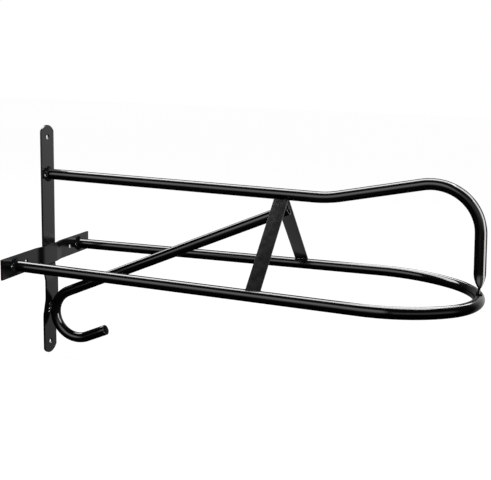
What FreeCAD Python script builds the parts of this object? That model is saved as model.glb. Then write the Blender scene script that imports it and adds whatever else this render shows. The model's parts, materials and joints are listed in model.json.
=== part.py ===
"""Wall-mounted saddle rack, welded from round tube and flat bar. Millimetres.

X points out of the wall, Y to the left of someone facing out of the wall, Z up.
The origin lies on the wall, at the centre of the horizontal strap.
"""
import FreeCAD, Part
import math
import os
import Sketcher

V = FreeCAD.Vector
ORIGIN = (-1, 1)

SIZES = {
    # stock
    "tube_diameter": 16.0,
    "tube_wall": 1.5,
    "tube_sink": 1.0,
    "strap_thickness": 3.0,
    "leg_width": 20.0,
    "leg_thickness": 3.0,
    # upright: vertical strap
    "upright_width": 34.0,
    "upright_top": 199.0,
    "upright_bottom": 161.0,
    "upright_end_radius": 20.5,
    "hole_diameter": 7.0,
    "hole_inset": 18.0,
    "bow_depth": 4.5,
    "bow_start": 19.0,
    "bow_ramp": 20.0,
    "bow_end": 97.0,
    "bow_foot_ramp": 28.0,
    # crossbar: horizontal strap
    "crossbar_width": 30.0,
    "crossbar_half": 124.0,
    "crossbar_hole": 63.5,
    "joggle_flat": 20.0,
    "joggle_ramp": 12.0,
    # seat loop
    "loop_root": 90.8,
    "loop_splay": 2.63,
    "loop_front": 646.0,
    "loop_side_radius": 158.0,
    "loop_front_radius": 100.0,
    # ridge rail
    "rail_root": 125.0,
    "rail_fall": 0.65,
    "rail_dip": 419.5,
    "rail_dip_radius": 150.0,
    "rail_rise": 12.3,
    "rail_front": 643.9,
    "rail_bend_radius": 66.0,
    "rail_lean": 3.6,
    "pinch_top": 36.0,
    "pinch_split": 30.0,
    "pinch_bottom": 18.0,
    "blade_width": 22.0,
    "blade_thickness": 3.2,
    "blade_foot": 3.0,
    "cavity_end": 19.5,
    "cavity_width": 15.0,
    "cavity_thickness": 0.6,
    # brace and bridle hook
    "hook_centre_out": 50.95,
    "hook_centre_down": 92.1,
    "hook_radius": 38.5,
    "brace_angle": 24.37,
    "brace_length": 381.0,
    "hook_tip": 36.5,
    # legs
    "leg_out": 373.5,
    "leg_stagger": 8.0,
    "left_leg_set_back": 4.8,
    "leg_aim": 2.0,
    "leg_sink": 4.0,
    "leg_short": 3.0,
    # weld beads
    "bead_set": 0.8,
    "root_bead_section": 3.2,
    "root_bead_set": 1.0,
    "cross_bead_radius": 2.6,
    "cross_bead_length": 31.0,
    "hook_bead_radius": 2.6,
    "hook_bead_length": 20.0,
    "hook_bead_side": 5.4,
    "hook_bead_rise": 6.0,
    "leg_bead_radius": 3.8,
    "leg_bead_over": 1.5,
    "brace_bead_radius": 5.0,
    "brace_bead_length": 9.0,
    "brace_bead_back": 4.5,
    "brace_bead_drop": 2.5,
    "front_bead_radius": 3.6,
    "front_bead_length": 19.0,
}

doc = FreeCAD.newDocument("saddle_rack")
sheet = doc.addObject("Spreadsheet::Sheet", "Sizes")
for row, (alias, number) in enumerate(SIZES.items(), start=1):
    sheet.set("A%d" % row, alias)
    sheet.set("B%d" % row, str(number))
    sheet.setAlias("B%d" % row, alias)
doc.recompute()


def size(alias):
    """Value of one cell of the sheet."""
    return float(sheet.get(alias))


def cell(expression):
    """Turns bare size names, marked with @, into references to the sheet."""
    return expression.replace("@", "Sizes.")


# ---------------------------------------------------------------- sketch helpers

def new_body(name):
    return doc.addObject("PartDesign::Body", name)


def new_sketch(body, name, role, offset=None):
    """A sketch on one of the body's origin planes, moved along its normal by an expression."""
    plane = next(f for f in body.Origin.OriginFeatures if f.Role == role)
    sketch = body.newObject("Sketcher::SketchObject", name)
    sketch.AttachmentSupport = [(plane, "")]
    sketch.MapMode = "FlatFace"
    if offset is not None:
        sketch.setExpression("AttachmentOffset.Base.z", cell(offset))
    return sketch


def bind(sketch, constraint, expression):
    """Adds a dimension to a sketch and ties it to the sheet."""
    index = sketch.addConstraint(constraint)
    sketch.setExpression("Constraints[%d]" % index, cell(expression))


def arc_about(centre, radius, first, last):
    """Arc from angle first, anticlockwise to angle last, in degrees."""
    round_centre = Part.Circle(V(centre[0], centre[1], 0), V(0, 0, 1), radius)
    return Part.ArcOfCircle(round_centre, math.radians(first), math.radians(last))


def pin(sketch, geometry, end, across, along):
    """Ties one point's two coordinates, given as (value, expression) pairs, to the sheet."""
    for kind, (value, expression) in (("DistanceX", across), ("DistanceY", along)):
        bind(sketch, Sketcher.Constraint(kind, *ORIGIN, geometry, end, value), expression)


def polygon(sketch, corners):
    """A closed outline of straight lines; each corner is a pair of (value, expression) pairs."""
    points = [V(across[0], along[0], 0) for across, along in corners]
    count = len(points)
    for i in range(count):
        sketch.addGeometry(Part.LineSegment(points[i], points[(i + 1) % count]), False)
    for i in range(count):
        sketch.addConstraint(Sketcher.Constraint("Coincident", i, 2, (i + 1) % count, 1))
    for i, (across, along) in enumerate(corners):
        pin(sketch, i, 1, across, along)


def circle(sketch, across, along, radius):
    """A circle; the centre's coordinates and the radius are (value, expression) pairs."""
    centre = V(across[0], along[0], 0)
    index = sketch.addGeometry(Part.Circle(centre, V(0, 0, 1), radius[0]), False)
    pin(sketch, index, 3, across, along)
    bind(sketch, Sketcher.Constraint("Radius", index, radius[0]), radius[1])
    return index


def tube_section(body, name, start, axis, offset, turn_axis=V(1, 0, 0), turn=None):
    """A tube's outside and bore, drawn square to the start of its path.

    The sketch stands across X at the start expression, is moved along its own axis "x" or "y" by
    an offset expression, and is turned about turn_axis by the angle that one size gives.
    """
    sketch = new_sketch(body, name, "YZ_Plane", start)
    sketch.setExpression("AttachmentOffset.Base." + axis, cell(offset))
    if turn is not None:
        place = sketch.AttachmentOffset
        place.Rotation = FreeCAD.Rotation(turn_axis, size(turn))
        sketch.AttachmentOffset = place
        sketch.setExpression("AttachmentOffset.Rotation.Angle", cell("@" + turn))
    outer = size("tube_diameter") / 2
    centre = (0.0, "0 * @tube_diameter")
    circle(sketch, centre, centre, (outer, "@tube_diameter / 2"))
    circle(sketch, centre, centre, (outer - size("tube_wall"), "@tube_diameter / 2 - @tube_wall"))
    return sketch


def sweep(body, name, section, path):
    pipe = body.newObject("PartDesign::AdditivePipe", name)
    pipe.Profile = section
    pipe.Spine = path
    section.Visibility = False
    path.Visibility = False
    return pipe


def pad_both_ways(body, sketch, name, length):
    pad = body.newObject("PartDesign::Pad", name)
    pad.Profile = sketch
    pad.Midplane = True
    pad.setExpression("Length", cell(length))
    return pad


def pocket_through(body, sketch, name):
    pocket = body.newObject("PartDesign::Pocket", name)
    pocket.Profile = sketch
    pocket.Type = "ThroughAll"
    pocket.Midplane = True
    return pocket


def closed_chain(sketch, curves, relation):
    """Adds curves end to end, anticlockwise, and joins the last to the first."""
    placed = [sketch.addGeometry(curve, False) for curve in curves]
    for here, after in zip(placed, placed[1:] + placed[:1]):
        sketch.addConstraint(Sketcher.Constraint(relation, here, 2, after, 1))
    return placed


def slot(sketch, width, thickness):
    """A narrow slot about the sketch's origin, long along its Y."""
    half = (width[0] - thickness[0]) / 2
    radius = thickness[0] / 2
    upper, left, lower, right = closed_chain(sketch, [
        arc_about((0, half), radius, 0, 180),
        Part.LineSegment(V(-radius, half, 0), V(-radius, -half, 0)),
        arc_about((0, -half), radius, 180, 360),
        Part.LineSegment(V(radius, -half, 0), V(radius, half, 0)),
    ], "Tangent")
    half_text = "(%s - %s) / 2" % (width[1], thickness[1])
    pin(sketch, upper, 3, (0.0, "0 * " + thickness[1]), (half, half_text))
    bind(sketch, Sketcher.Constraint("DistanceY", *ORIGIN, lower, 3, -half), "-" + half_text)
    bind(sketch, Sketcher.Constraint("Radius", upper, radius), thickness[1] + " / 2")


def quartered_circle(sketch, radius):
    """A circle in four arcs whose ends answer to a slot's corners."""
    value, text = radius
    split = size("pinch_split")
    arcs = closed_chain(sketch, [
        arc_about((0, 0), value, split, 180 - split),
        arc_about((0, 0), value, 180 - split, 180 + split),
        arc_about((0, 0), value, 180 + split, 360 - split),
        arc_about((0, 0), value, 360 - split, 360 + split),
    ], "Coincident")
    height = value * math.sin(math.radians(split))
    for arc, sign in zip(arcs, (1, 1, -1, -1)):
        sketch.addConstraint(Sketcher.Constraint("Coincident", arc, 3, *ORIGIN))
        bind(sketch, Sketcher.Constraint("DistanceY", *ORIGIN, arc, 1, sign * height),
             "%s(%s) * sin(@pinch_split * 1 deg)" % ("" if sign > 0 else "-", text))
    bind(sketch, Sketcher.Constraint("Radius", arcs[0], value), text)


# ---------------------------------------------------------------- the straps

def strap_profile(sketch, stations):
    """Edge view of a flat strap: straight runs and ramps through the stations, one thickness deep.

    Each station is (place, place expression, set-off, set-off expression).
    """
    depth = size("strap_thickness")
    back = [((off, off_text), (place, text)) for place, text, off, off_text in stations]
    front = [((off + depth, off_text + " + @strap_thickness"), (place, text))
             for place, text, off, off_text in reversed(stations)]
    polygon(sketch, back + front)


def make_upright():
    """Vertical strap: bowed forward between the crossbar and the hook, round-ended, two holes."""
    body = new_body("upright")
    bow = (size("bow_depth"), "@bow_depth")
    flat = (0.0, "0 * @bow_depth")
    start, ramp = size("bow_start"), size("bow_ramp")
    end, foot_ramp = size("bow_end"), size("bow_foot_ramp")
    stations = [
        (size("upright_top"), "@upright_top", *flat),
        (-start, "-@bow_start", *flat),
        (-start - ramp, "-@bow_start - @bow_ramp", *bow),
        (-end + foot_ramp, "-@bow_end + @bow_foot_ramp", *bow),
        (-end, "-@bow_end", *flat),
        (-size("upright_bottom"), "-@upright_bottom", *flat),
    ]
    side = new_sketch(body, "upright_side", "XZ_Plane")
    strap_profile(side, stations)
    pad_both_ways(body, side, "upright_bar", "@upright_width")

    radius = size("upright_end_radius")
    half = size("upright_width") / 2
    drop = radius - math.sqrt(radius ** 2 - half ** 2)
    ends = new_sketch(body, "upright_ends", "YZ_Plane")
    for sign, alias in ((1, "upright_top"), (-1, "upright_bottom")):
        tip = size(alias)
        round_end(ends, sign, tip, alias, half, radius, drop)
        inset_text = "%s(@%s - @hole_inset)" % ("" if sign > 0 else "-", alias)
        hole = (size("hole_diameter") / 2, "@hole_diameter / 2")
        circle(ends, (0.0, "0 * @hole_diameter"), (sign * (tip - size("hole_inset")), inset_text), hole)
    pocket_through(body, ends, "upright_ends_cut")
    return body


def round_end(sketch, sign, tip, alias, half, radius, drop):
    """The waste outside a strap's round end: an arc over the strap's width and a box beyond it."""
    centre = V(0, sign * (tip - radius), 0)
    turn = math.asin(half / radius)
    middle = sign * math.pi / 2
    curve = Part.ArcOfCircle(Part.Circle(centre, V(0, 0, 1), radius), middle - turn, middle + turn)
    arc = sketch.addGeometry(curve, False)
    first = curve.StartPoint
    last = curve.EndPoint
    beyond = V(0, sign * 2 * drop, 0)
    chain = [last, last + beyond, first + beyond, first]
    lines = [sketch.addGeometry(Part.LineSegment(a, b), False) for a, b in zip(chain, chain[1:])]
    outline = [arc] + lines
    for here, after in zip(outline, outline[1:] + outline[:1]):
        sketch.addConstraint(Sketcher.Constraint("Coincident", here, 2, after, 1))
    sketch.addConstraint(Sketcher.Constraint("Vertical", lines[0]))
    sketch.addConstraint(Sketcher.Constraint("Vertical", lines[2]))
    sketch.addConstraint(Sketcher.Constraint("Horizontal", lines[1]))
    minus = "" if sign > 0 else "-"
    bind(sketch, Sketcher.Constraint("Radius", arc, radius), "@upright_end_radius")
    pin(sketch, arc, 3, (0.0, "0 * @upright_width"),
        (centre.y, "%s(@%s - @upright_end_radius)" % (minus, alias)))
    bind(sketch, Sketcher.Constraint("DistanceX", *ORIGIN, arc, 1, first.x),
         "%s@upright_width / 2" % ("" if first.x > 0 else "-"))
    bind(sketch, Sketcher.Constraint("DistanceX", *ORIGIN, arc, 2, last.x),
         "%s@upright_width / 2" % ("" if last.x > 0 else "-"))
    bind(sketch, Sketcher.Constraint("DistanceY", *ORIGIN, lines[1], 1, (last + beyond).y),
         "%s(@%s + @upright_end_radius / 2)" % (minus, alias))


def make_crossbar():
    """Horizontal strap: joggled over the upright in the middle, square-ended, two holes."""
    body = new_body("crossbar")
    lift = (size("strap_thickness"), "@strap_thickness")
    flat = (0.0, "0 * @strap_thickness")
    half, top = size("crossbar_half"), size("joggle_flat")
    foot = top + size("joggle_ramp")
    stations = [
        (half, "@crossbar_half", *flat),
        (foot, "@joggle_flat + @joggle_ramp", *flat),
        (top, "@joggle_flat", *lift),
        (-top, "-@joggle_flat", *lift),
        (-foot, "-@joggle_flat - @joggle_ramp", *flat),
        (-half, "-@crossbar_half", *flat),
    ]
    plan = new_sketch(body, "crossbar_plan", "XY_Plane")
    strap_profile(plan, stations)
    pad_both_ways(body, plan, "crossbar_bar", "@crossbar_width")
    holes = new_sketch(body, "crossbar_holes", "YZ_Plane")
    radius = (size("hole_diameter") / 2, "@hole_diameter / 2")
    for sign, text in ((1, "@crossbar_hole"), (-1, "-@crossbar_hole")):
        circle(holes, (sign * size("crossbar_hole"), text), (0.0, "0 * @crossbar_hole"), radius)
    pocket_through(body, holes, "crossbar_holes_cut")
    return body


# ---------------------------------------------------------------- the tubes

def tangent_chain(sketch, pieces):
    """Adds lines and arcs end to end, each tangent to the next.

    Each piece is (curve, end the chain comes in by, end it goes out by).
    """
    placed = [(sketch.addGeometry(curve, False), way_in, way_out) for curve, way_in, way_out in pieces]
    for (first, _, out), (second, way_in, _) in zip(placed, placed[1:]):
        sketch.addConstraint(Sketcher.Constraint("Tangent", first, out, second, way_in))
    return [index for index, _, _ in placed]


def polar(centre, radius, angle):
    """Point at a radius and an angle in degrees from a centre."""
    turn = math.radians(angle)
    return V(centre[0] + radius * math.cos(turn), centre[1] + radius * math.sin(turn), 0)


def tube_start():
    """Distance out where the tubes' centre lines begin: a little inside the straps they are cut to."""
    return size("strap_thickness") - size("tube_sink")


START = "@strap_thickness - @tube_sink"


def loop_centres():
    """Centres of the loop's left side bend and front bend, and the angle where they meet."""
    splay = math.radians(size("loop_splay"))
    side, front = size("loop_side_radius"), size("loop_front_radius")
    front_centre = (size("loop_front") - front, 0.0)
    root = (tube_start(), size("loop_root"))
    # the side bend's centre lies one radius inside the arm and (side - front) from the front's
    start = (root[0] + side * math.sin(splay), root[1] - side * math.cos(splay))
    gap = (front_centre[0] - start[0], front_centre[1] - start[1])
    along = gap[0] * math.cos(splay) + gap[1] * math.sin(splay)
    off = gap[1] * math.cos(splay) - gap[0] * math.sin(splay)
    run = along - math.sqrt((side - front) ** 2 - off ** 2)
    side_centre = (start[0] + run * math.cos(splay), start[1] + run * math.sin(splay))
    meet = math.degrees(math.atan2(-side_centre[1], front_centre[0] - side_centre[0]))
    return side_centre, front_centre, meet


def make_loop_blank():
    """Seat loop before its ends are cut to the crossbar: level, with two splayed arms.

    The arms run into two long side bends that meet in a tighter front bend.
    """
    body = new_body("loop_blank")
    splay = size("loop_splay")
    side, front = size("loop_side_radius"), size("loop_front_radius")
    left, nose, meet = loop_centres()
    right = (left[0], -left[1])
    root = V(tube_start(), size("loop_root"), 0)
    far_root = V(root.x, -root.y, 0)
    path = new_sketch(body, "loop_path", "XY_Plane")
    left_arm, left_bend, front_bend, right_bend, right_arm = tangent_chain(path, [
        (Part.LineSegment(root, polar(left, side, 90 + splay)), 1, 2),
        (arc_about(left, side, meet, 90 + splay), 2, 1),
        (arc_about(nose, front, -meet, meet), 2, 1),
        (arc_about(right, side, -90 - splay, -meet), 2, 1),
        (Part.LineSegment(polar(right, side, -90 - splay), far_root), 1, 2),
    ])
    pin(path, left_arm, 1, (root.x, START), (root.y, "@loop_root"))
    pin(path, right_arm, 2, (root.x, START), (-root.y, "-@loop_root"))
    path.addConstraint(Sketcher.Constraint("PointOnObject", front_bend, 3, -1))
    bind(path, Sketcher.Constraint("DistanceX", *ORIGIN, front_bend, 3, nose[0]),
         "@loop_front - @loop_front_radius")
    bind(path, Sketcher.Constraint("Radius", front_bend, front), "@loop_front_radius")
    for bend in (left_bend, right_bend):
        bind(path, Sketcher.Constraint("Radius", bend, side), "@loop_side_radius")
    bind(path, Sketcher.Constraint("Angle", -1, 1, left_arm, 1, math.radians(splay)), "@loop_splay * 1 deg")
    bind(path, Sketcher.Constraint("Angle", -1, 1, right_arm, 2, -math.radians(splay)),
         "-@loop_splay * 1 deg")
    section = tube_section(body, "loop_section", START, "x", "@loop_root", V(0, 1, 0), "loop_splay")
    sweep(body, "loop_tube", section, path)
    return body


def rail_points():
    """Key points of the rail's centre line, in the plane Y = 0."""
    fall, rise = math.radians(size("rail_fall")), math.radians(size("rail_rise"))
    lean = math.radians(size("rail_lean"))
    dip_radius, bend_radius = size("rail_dip_radius"), size("rail_bend_radius")
    root = V(tube_start(), size("rail_root"), 0)
    dip_start = V(size("rail_dip"), root.y - (size("rail_dip") - root.x) * math.tan(fall), 0)
    dip_centre = dip_start + V(math.sin(fall), math.cos(fall), 0) * dip_radius
    dip_end = dip_centre + V(math.sin(rise), -math.cos(rise), 0) * dip_radius
    pinch = V(size("rail_front"), size("pinch_top"), 0)
    # the ramp and the front run, both drawn on, cross at a corner that the bend rounds off
    reach = pinch.x + pinch.y * math.tan(lean) - dip_end.x
    corner_up = (dip_end.y + reach * math.tan(rise)) / (1 + math.tan(lean) * math.tan(rise))
    corner = V(pinch.x - (corner_up - pinch.y) * math.tan(lean), corner_up, 0)
    tangent = bend_radius * math.tan((rise + math.pi / 2 - lean) / 2)
    bend_start = corner - V(math.cos(rise), math.sin(rise), 0) * tangent
    bend_end = corner + V(math.sin(lean), -math.cos(lean), 0) * tangent
    bend_centre = bend_start + V(math.sin(rise), -math.cos(rise), 0) * bend_radius
    return root, dip_start, dip_centre, dip_end, bend_start, bend_centre, bend_end, pinch


def make_rail_blank():
    """Ridge rail before it is fitted to the loop: swept tube, pinched end and flat blade."""
    body = new_body("rail_blank")
    root, dip_start, dip_centre, dip_end, bend_start, bend_centre, bend_end, pinch = rail_points()
    fall, rise, lean = size("rail_fall"), size("rail_rise"), size("rail_lean")
    dip_radius, bend_radius = size("rail_dip_radius"), size("rail_bend_radius")
    path = new_sketch(body, "rail_path", "XZ_Plane")
    run, dip, ramp, bend, front = tangent_chain(path, [
        (Part.LineSegment(root, dip_start), 1, 2),
        (arc_about(dip_centre, dip_radius, 270 - fall, 270 + rise), 1, 2),
        (Part.LineSegment(dip_end, bend_start), 1, 2),
        (arc_about(bend_centre, bend_radius, lean, 90 + rise), 2, 1),
        (Part.LineSegment(bend_end, pinch), 1, 2),
    ])
    pin(path, run, 1, (root.x, START), (root.y, "@rail_root"))
    bind(path, Sketcher.Constraint("DistanceX", *ORIGIN, run, 2, dip_start.x), "@rail_dip")
    bind(path, Sketcher.Constraint("Angle", -1, 1, run, 1, -math.radians(fall)), "-@rail_fall * 1 deg")
    bind(path, Sketcher.Constraint("Angle", -1, 1, ramp, 1, math.radians(rise)), "@rail_rise * 1 deg")
    bind(path, Sketcher.Constraint("Angle", -1, 1, front, 1, math.radians(lean - 90)),
         "(@rail_lean - 90) * 1 deg")
    bind(path, Sketcher.Constraint("Radius", dip, dip_radius), "@rail_dip_radius")
    bind(path, Sketcher.Constraint("Radius", bend, bend_radius), "@rail_bend_radius")
    pin(path, front, 2, (pinch.x, "@rail_front"), (pinch.y, "@pinch_top"))
    section = tube_section(body, "rail_section", START, "y", "@rail_root", V(1, 0, 0), "rail_fall")
    sweep(body, "rail_tube", section, path)

    outer = size("tube_diameter") / 2
    bore = outer - size("tube_wall")
    round_outside = front_sketch(body, "pinch_round", "pinch_top")
    quartered_circle(round_outside, (outer, "@tube_diameter / 2"))
    flat_outside = front_sketch(body, "pinch_flat", "pinch_bottom")
    slot(flat_outside, (size("blade_width"), "@blade_width"), (size("blade_thickness"), "@blade_thickness"))
    loft(body, "PartDesign::AdditiveLoft", "pinch", round_outside, flat_outside)
    round_bore = front_sketch(body, "cavity_round", "pinch_top")
    quartered_circle(round_bore, (bore, "@tube_diameter / 2 - @tube_wall"))
    flat_bore = front_sketch(body, "cavity_flat", "cavity_end")
    slot(flat_bore, (size("cavity_width"), "@cavity_width"), (size("cavity_thickness"), "@cavity_thickness"))
    loft(body, "PartDesign::SubtractiveLoft", "cavity", round_bore, flat_bore)
    blade = body.newObject("PartDesign::Pad", "blade")
    blade.Profile = flat_outside
    blade.Reversed = True
    blade.setExpression("Length", cell("@pinch_bottom - @blade_foot"))
    return body


def rail_line(level):
    """Out from the wall to the rail's front run, at the level that one size gives."""
    drop = size("pinch_top") - size(level)
    return size("rail_front") + drop * math.tan(math.radians(size("rail_lean")))


def front_sketch(body, name, level):
    """A sketch square to the rail's front run, centred on it, at the level that one size gives."""
    sketch = new_sketch(body, name, "XY_Plane")
    place = V(rail_line(level), 0, size(level))
    sketch.AttachmentOffset = FreeCAD.Placement(place, FreeCAD.Rotation(V(0, -1, 0), size("rail_lean")))
    out = "@rail_front + (@pinch_top - @%s) * tan(@rail_lean * 1 deg)" % level
    sketch.setExpression("AttachmentOffset.Base.x", cell(out))
    sketch.setExpression("AttachmentOffset.Base.z", cell("@" + level))
    sketch.setExpression("AttachmentOffset.Rotation.Angle", cell("@rail_lean"))
    return sketch


def loft(body, kind, name, first, last):
    feature = body.newObject(kind, name)
    feature.Profile = first
    feature.Sections = [last]
    for sketch in (first, last):
        sketch.Visibility = False
    return feature


def hook_direction():
    """The brace's direction, up and out, and its upward normal, in the plane Y = 0."""
    angle = math.radians(size("brace_angle"))
    return V(math.cos(angle), 0, math.sin(angle)), V(-math.sin(angle), 0, math.cos(angle))


def hook_centre():
    return V(size("hook_centre_out"), 0, -size("hook_centre_down"))


def make_brace_hook():
    """Brace and bridle hook: drawn with the brace along X, then turned up to its slope."""
    body = new_body("brace_hook")
    radius = size("hook_radius")
    length, tip = size("brace_length"), size("hook_tip")
    path = new_sketch(body, "hook_path", "XZ_Plane")
    brace, hook, end = tangent_chain(path, [
        (Part.LineSegment(V(length, radius, 0), V(0, radius, 0)), 1, 2),
        (arc_about((0, 0), radius, 90, 270), 1, 2),
        (Part.LineSegment(V(0, -radius, 0), V(tip, -radius, 0)), 1, 2),
    ])
    pin(path, brace, 1, (length, "@brace_length"), (radius, "@hook_radius"))
    pin(path, hook, 3, (0.0, "0 * @hook_radius"), (0.0, "0 * @hook_radius"))
    path.addConstraint(Sketcher.Constraint("Horizontal", brace))
    path.addConstraint(Sketcher.Constraint("Horizontal", end))
    bind(path, Sketcher.Constraint("DistanceX", *ORIGIN, end, 2, tip), "@hook_tip")
    section = tube_section(body, "hook_section", "@brace_length", "y", "@hook_radius")
    sweep(body, "hook_tube", section, path)
    body.Placement = FreeCAD.Placement(hook_centre(), FreeCAD.Rotation(V(0, 1, 0), -size("brace_angle")))
    return body


# ---------------------------------------------------------------- the legs

def rail_axis(out):
    """Point on the rail's straight run at a distance out from the wall."""
    fall = math.radians(size("rail_fall"))
    return V(out, 0, size("rail_root") - (out - tube_start()) * math.tan(fall))


def arm_axis(out, side):
    """Point on one of the loop's straight arms; side is 1 for left, -1 for right."""
    splay = math.radians(size("loop_splay"))
    return V(out, side * (size("loop_root") + (out - tube_start()) * math.tan(splay)), 0)


def leg_line(side):
    """Foot on the arm's crest, point aimed at above the rail's axis, and the direction between."""
    out = size("leg_out")
    top_out = out - size("left_leg_set_back") if side > 0 else out
    foot = arm_axis(out + side * size("leg_stagger"), side) + V(0, 0, size("tube_diameter") / 2)
    aim = rail_axis(top_out) + V(0, 0, size("leg_aim"))
    direction = aim - foot
    direction.normalize()
    return foot, aim, direction


def make_leg_bar(name, side):
    """A length of flat bar, wide face sideways, that runs into the arm and into the rail."""
    foot, aim, direction = leg_line(side)
    along = V(1, 0, 0) - direction * direction.x
    along.normalize()
    turn = FreeCAD.Rotation(along, direction.cross(along), direction, "ZXY")
    bar = doc.addObject("Part::Box", name)
    bar.setExpression("Length", cell("@leg_width"))
    bar.setExpression("Width", cell("@leg_thickness"))
    bar.Height = (aim - foot).Length + size("leg_sink") - size("leg_short")
    corner = V(-size("leg_width") / 2, -size("leg_thickness") / 2, -size("leg_sink"))
    bar.Placement = FreeCAD.Placement(foot + turn.multVec(corner), turn)
    return bar


# ---------------------------------------------------------------- envelopes and weld beads

def rod(name, radius, start, direction, length):
    """A solid round bar from a point along a direction; radius is an expression."""
    bar = doc.addObject("Part::Cylinder", name)
    bar.setExpression("Radius", cell(radius))
    bar.Height = length
    bar.Placement = FreeCAD.Placement(start, FreeCAD.Rotation(V(0, 0, 1), direction))
    return bar


def ring(name, ring_radius, section_radius, centre, axis):
    """A solid ring about an axis; both radii are expressions."""
    solid = doc.addObject("Part::Torus", name)
    solid.setExpression("Radius1", cell(ring_radius))
    solid.setExpression("Radius2", cell(section_radius))
    solid.Placement = FreeCAD.Placement(centre, FreeCAD.Rotation(V(0, 0, 1), axis))
    return solid


def bead_rod(name, radius, centre, direction, length):
    """Bar of weld metal about a centre, before the joined pieces are cut out of it."""
    return rod(name + "_metal", radius, centre - direction * (length / 2), direction, length)


def fitted(name, base, *tools):
    """A piece with other pieces' envelopes cut away, so that it meets them face to face."""
    for number, tool in enumerate(tools, start=1):
        cut = doc.addObject("Part::Cut", "%s_fit_%d" % (name, number))
        cut.Base = base
        cut.Tool = tool
        base = cut
    base.Label = name
    return base


def envelopes():
    """Solid outer shapes of the tubes, where other pieces are fitted to them."""
    radius = "@tube_diameter / 2"
    reach = size("rail_dip")
    shapes = {"rail": rod("rail_envelope", radius, rail_axis(0), rail_axis(reach) - rail_axis(0), reach)}
    for word, side in (("left_arm", 1), ("right_arm", -1)):
        start, end = arm_axis(0, side), arm_axis(reach, side)
        shapes[word] = rod(word + "_envelope", radius, start, end - start, reach)
    nose_centre = V(size("loop_front") - size("loop_front_radius"), 0, 0)
    shapes["nose"] = ring("nose_envelope", "@loop_front_radius", radius, nose_centre, V(0, 0, 1))
    shapes["hook"] = ring("hook_envelope", "@hook_radius", radius, hook_centre(), V(0, 1, 0))
    brace_way, brace_up = hook_direction()
    brace_start = hook_centre() + brace_up * size("hook_radius")
    brace_reach = size("brace_length") + size("tube_diameter")
    shapes["brace"] = rod("brace_envelope", radius, brace_start, brace_way, brace_reach)
    return shapes


def root_bead(name, centre, strap, tube):
    """Ring of weld round a tube's end, on the face of a strap."""
    set_off = V(size("strap_thickness") + size("root_bead_set"), centre.y, centre.z)
    ring_radius = "@tube_diameter / 2 + @root_bead_set"
    metal = ring(name + "_metal", ring_radius, "@root_bead_section", set_off, V(1, 0, 0))
    return fitted(name, metal, strap, tube)


def make_beads(straps, shapes, rail, legs):
    upright, crossbar = straps
    beads = [
        root_bead("weld_rail_root", rail_axis(0), upright, shapes["rail"]),
        root_bead("weld_left_arm_root", arm_axis(0, 1), crossbar, shapes["left_arm"]),
        root_bead("weld_right_arm_root", arm_axis(0, -1), crossbar, shapes["right_arm"]),
    ]
    half, depth = size("crossbar_width") / 2, size("strap_thickness")
    across = V(0, 1, 0)
    for name, sign in (("weld_crossing_top", 1), ("weld_crossing_bottom", -1)):
        offset = size("bead_set")
        centre = V(depth + offset, 0, sign * (half + offset))
        metal = bead_rod(name, "@cross_bead_radius", centre, across, size("cross_bead_length"))
        beads.append(fitted(name, metal, upright, crossbar))

    slope = math.atan2(size("bow_depth"), size("bow_foot_ramp"))
    level = -size("hook_centre_down") + size("hook_bead_rise")
    face = depth + (level + size("bow_end")) * math.tan(slope)
    for name, side in (("weld_hook_left", 1), ("weld_hook_right", -1)):
        centre = V(face + 2 * size("bead_set"), side * size("hook_bead_side"), level)
        metal = bead_rod(name, "@hook_bead_radius", centre, V(math.sin(slope), 0, math.cos(slope)),
                         size("hook_bead_length"))
        beads.append(fitted(name, metal, upright, shapes["hook"]))

    bead_length = size("leg_width") + 2 * size("leg_bead_over")
    tops = []
    for word, side in (("left", 1), ("right", -1)):
        foot, aim, direction = leg_line(side)
        along = V(1, 0, 0) - direction * direction.x
        along.normalize()
        joint = aim - direction * (size("tube_diameter") / 2 + size("leg_aim") * direction.z)
        leg, arm = legs[word], shapes[word + "_arm"]
        top = bead_rod("weld_%s_leg_top" % word, "@leg_bead_radius", joint, along, bead_length)
        tops.append(fitted("weld_%s_leg_top" % word, top, leg, shapes["rail"]))
        bottom = bead_rod("weld_%s_leg_foot" % word, "@leg_bead_radius", foot, along, bead_length)
        beads.append(fitted("weld_%s_leg_foot" % word, bottom, leg, arm))

    brace_way, brace_up = hook_direction()
    lip_height = size("hook_radius") + size("tube_diameter") / 2
    lip = hook_centre() + brace_way * size("brace_length") + brace_up * lip_height
    under = rail_axis(lip.x - size("brace_bead_back"))
    centre = V(under.x, 0, under.z - size("tube_diameter") / 2 - size("brace_bead_drop"))
    metal = bead_rod("weld_brace_end", "@brace_bead_radius", centre, V(1, 0, 0), size("brace_bead_length"))
    beads.append(fitted("weld_brace_end", metal, shapes["rail"], shapes["brace"], *tops))

    centre = V(rail_line("blade_foot"), 0, size("tube_diameter") / 2)
    metal = bead_rod("weld_rail_front", "@front_bead_radius", centre, across, size("front_bead_length"))
    beads.append(fitted("weld_rail_front", metal, rail, shapes["nose"]))
    return beads + tops


def check_objects():
    """Stops on any failed object, and on any piece that isn't sound."""
    for item in doc.Objects:
        if "Invalid" in item.State or "Error" in item.State:
            raise RuntimeError("%s failed: %s" % (item.Name, item.State))


def write_pieces(pieces):
    os.makedirs("parts", exist_ok=True)
    for piece in pieces:
        shape = piece.Shape
        if shape.isNull() or not shape.isValid() or not shape.Solids:
            raise RuntimeError(piece.Label + " has no sound shape")
        print("%-24s solids %d  volume %10.1f" % (piece.Label, len(shape.Solids), shape.Volume))
    for piece in pieces:
        piece.Shape.exportStep(os.path.join("parts", piece.Label + ".step"))


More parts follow.
